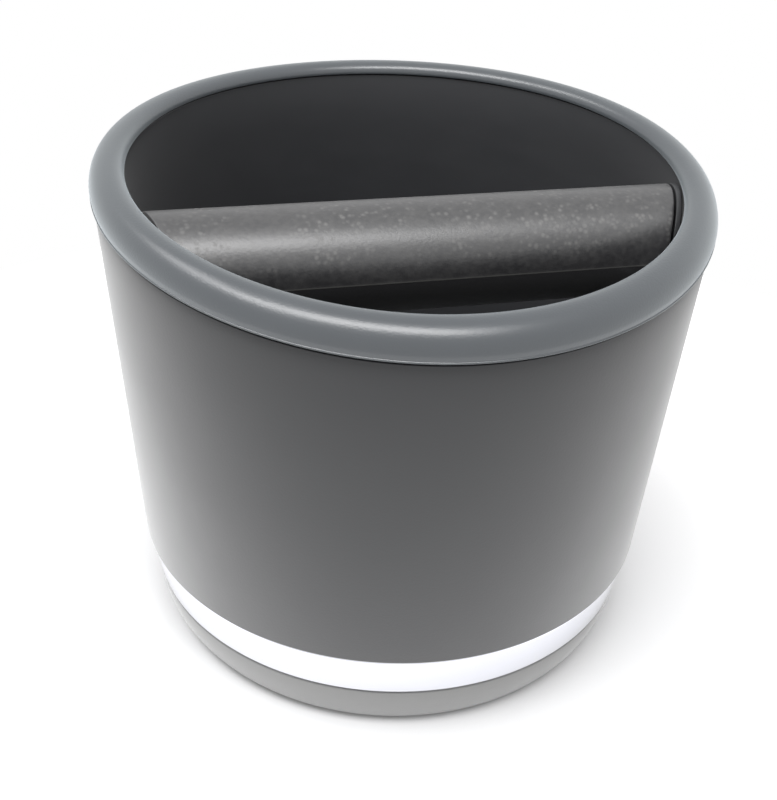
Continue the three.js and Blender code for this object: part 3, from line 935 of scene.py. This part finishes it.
def makeSleeve(shape):
    # rings along the bar; its ends follow the round wall, with a small round at each
    angles = [2 * math.pi * step / shape["around"] for step in range(shape["around"])]

    def partingAt(angle):
        turned = 2 * (angle - math.radians(shape["partingDegrees"]))
        away = abs(math.atan2(math.sin(turned), math.cos(turned))) / 2 * shape["radius"]
        return shape["partingHeight"] * max(0.0, 1 - away / (shape["partingWidth"] / 2))

    def ring(radius, share, endInset, parting=1):
        points = [roundBar(radius + parting * partingAt(angle), angle, shape["reach"]) for angle in angles]
        return [((x - endInset) * share, y, z) for x, y, z in points]

    edge = shape["edge"]
    ends = [(edge * (1 - math.sin(turn)), edge * (1 - math.cos(turn)))
            for turn in quarterTurn(shape["endSteps"])]
    rings = [ring(shape["bore"], -1, 0, 0)]
    rings += [ring(shape["radius"] - inset, -1, endInset) for inset, endInset in ends]
    shares = [-1 + 2 * step / shape["along"] for step in range(1, shape["along"])]
    rings += [ring(shape["radius"], share, edge) for share in shares]
    rings += [ring(shape["radius"] - inset, 1, endInset) for inset, endInset in reversed(ends)]
    rings.append(ring(shape["bore"], 1, 0, 0))
    sleeve = skin("knock_sleeve", rings, closed=True)
    handOver(sleeve, "knock_bar", "bar_rubber", ["bar_sleeve"], 50)


cap = {
    "wallGap": 0.12,        # to the liner's wall
    "passGap": 0.05,        # to the rim's lip, which it passes on its way up
    "flange": 1.18, "edge": 0.12, "neck": 6.7, "neckLength": 5.5,
    "around": 192, "edgeSteps": 4,
    "faceRings": (0.25, 0.5, 0.75), "backRings": (0.66, 0.33, 0),
}


def makeCap(shape, side, name, node):
    # the flange follows the wall on both faces; behind it a neck fills the sleeve's bore
    edge, face = shape["edge"], bar["radius"] - shape["edge"]

    def ring(radius, inset):
        points = []
        for step in range(shape["around"]):
            angle = 2 * math.pi * step / shape["around"]
            height = bar["height"] + radius * math.sin(angle)
            reach = min(linerInside(height) - shape["wallGap"], rim["lipRadius"] - shape["passGap"])
            x, y, z = roundBar(radius, angle, reach)
            points.append((side * (x - inset), y, z))
        return points

    stop = max(abs(end.x) for end in boxOf(node)) - shape["neckLength"]
    neckRing = [besideBar(side * stop, -y, z) for y, z in circlePoints(shape["neck"], shape["around"])]
    rings = [ring(0, 0)[:1]]
    rings += [ring(face * share, 0) for share in shape["faceRings"]]
    turns = quarterTurn(shape["edgeSteps"])
    rounds = [(edge * math.sin(turn), edge * (1 - math.cos(turn))) for turn in turns]
    rings += [ring(face + out, inset) for out, inset in rounds]
    rings += [ring(face + out, shape["flange"] - inset) for out, inset in reversed(rounds)]
    behind = [shape["neck"] + (face - shape["neck"]) * share for share in shape["backRings"]]
    rings += [ring(radius, shape["flange"]) for radius in behind]
    rings += [neckRing, [besideBar(side * stop, 0, 0)]]
    handOver(skin(name, rings), "knock_bar", "cap_plastic", [node], 50)


makeSleeve(bar)
makeCap(cap, -1, "end_cap_left", "bar_cap_left")
makeCap(cap, 1, "end_cap_right", "bar_cap_right")

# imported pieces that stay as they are

print("packed pieces")

for entry in frame["record"]["subparts"]:
    node = frame["nodes"][entry["node"]]
    if not node.hide_render:
        node.data.materials.clear()
        node.data.materials.append(finishes[entry["material_slot"]])

# studio

print("studio")

studio = {
    "floorColour": "#e7e7e8", "floorRoughness": 0.9, "floorSpecular": 0.1,
    "floorRadius": 0.22, "floorSides": 96,      # m; past the sheet there is only the white room
    "paintedShadeRadii": (0.053, 0.1),                  # m from the middle, where the paper's glow starts and is full; the weaker glow nearer in is painted shade round the foot
    "paintedShadeRise": 0.5,
    "glow": (0.02, 0.6),                        # for the camera and reflections: unshaded paper looks white, and the low end is painted shade at the foot
    "ambient": 0.27,
}
lampAim = (0, 0, 0.1)                           # m
lamps = {
    # a strip overhead, which draws the line of light along the rim and the bar
    "strip": {"place": (-0.22, -0.41, 1.1), "size": (1.15, 0.38), "energy": 10.6, "turnDegrees": 2},
    # a smaller one to the left, which carries that line on round the rim
    "side": {"place": (-0.66, 0.22, 1.05), "size": (0.6, 0.3), "energy": 2.4},
}


def seenDirectly(tree):
    # 1 for what the camera, a mirror or a glass sees, 0 for the light that falls on the object
    rays = addNode(tree, "ShaderNodeLightPath").outputs
    seen = rays["Is Camera Ray"]
    for name in ("Is Glossy Ray", "Is Transmission Ray"):
        seen = maths(tree, "MAXIMUM", seen, rays[name])
    return seen


def makeFloor(paper):
    # a pale sheet, white where no shadow lies on it, with painted shade that deepens towards the foot
    sheet = bmesh.new()
    bmesh.ops.create_circle(sheet, cap_ends=True, segments=paper["floorSides"], radius=paper["floorRadius"])
    floor = shown("studio_floor", finishedMesh("studio_floor", sheet))
    material = freshMaterial("studio paper")
    tree = material.node_tree
    place = addNode(tree, "ShaderNodeTexCoord").outputs["Object"]
    away = addNode(tree, "ShaderNodeVectorMath", {"operation": "LENGTH"}, {0: place}).outputs["Value"]
    # painted shade: the glow is weakest at the foot and grows outwards, so the paper darkens round it
    reach = maths(tree, "POWER", spread(tree, away, 0, 1, *paper["paintedShadeRadii"]), paper["paintedShadeRise"])
    glow = spread(tree, reach, *paper["glow"])
    seen = maths(tree, "MULTIPLY", seenDirectly(tree), glow)
    shader = addNode(tree, "ShaderNodeBsdfPrincipled", inputs={
        "Base Color": colourOf(paper["floorColour"]),
        "Roughness": paper["floorRoughness"],
        "Specular IOR Level": paper["floorSpecular"],
        "Emission Color": (1, 1, 1, 1),
        "Emission Strength": seen,
    })
    floor.data.materials.append(finishMaterial(material, shader.outputs[0]))


def makeWorld(light):
    world = bpy.data.worlds.new("studio")
    bpy.context.scene.world = world
    world.use_nodes = True
    tree = world.node_tree
    tree.nodes.clear()
    sky = addNode(tree, "ShaderNodeBackground", inputs={
        "Color": (1, 1, 1, 1), "Strength": spread(tree, seenDirectly(tree), light["ambient"], 1),
    })
    addNode(tree, "ShaderNodeOutputWorld", inputs={"Surface": sky.outputs[0]})


def addLamp(name, lamp):
    light = bpy.data.lights.new(name, "AREA")
    light.shape = "RECTANGLE"
    light.size, light.size_y = lamp["size"]
    light.energy = lamp["energy"]
    holder = bpy.data.objects.new(name, light)
    bpy.context.scene.collection.objects.link(holder)
    holder.location = lamp["place"]
    aim = (Vector(lampAim) - Vector(lamp["place"])).to_track_quat("-Z", "Y")
    turn = Quaternion((0, 0, 1), math.radians(lamp.get("turnDegrees", 0)))
    holder.rotation_euler = (aim @ turn).to_euler()


# the camera that fits the photograph's outlines: a 777 x 800 picture, 36 mm on its longer side
view = {
    "place": (-58.3, -215.5, 188.0),
    "target": (0, 0, 52),
    "rollDegrees": 2.72,
    "lens": 49.72, "sensor": 36,
    "shift": (-0.00905, -0.0151),
    "nearest": 0.01,        # m
}


def makeCamera(look):
    camera = bpy.data.cameras.new("photo_view")
    camera.sensor_fit = "VERTICAL"
    camera.sensor_height = look["sensor"]
    camera.lens = look["lens"]
    camera.shift_x, camera.shift_y = look["shift"]
    camera.clip_start = look["nearest"]
    holder = bpy.data.objects.new("photo_view", camera)
    bpy.context.scene.collection.objects.link(holder)
    place, target = Vector(look["place"]) * mm, Vector(look["target"]) * mm
    facing = (target - place).to_track_quat("-Z", "Y").to_matrix().to_4x4()
    roll = Matrix.Rotation(math.radians(look["rollDegrees"]), 4, "Z")
    holder.matrix_world = Matrix.Translation(place) @ facing @ roll
    bpy.context.scene.camera = holder


makeFloor(studio)
makeWorld(studio)
for name, lamp in lamps.items():
    addLamp(name, lamp)
makeCamera(view)

bpy.context.scene.view_settings.view_transform = "Standard"
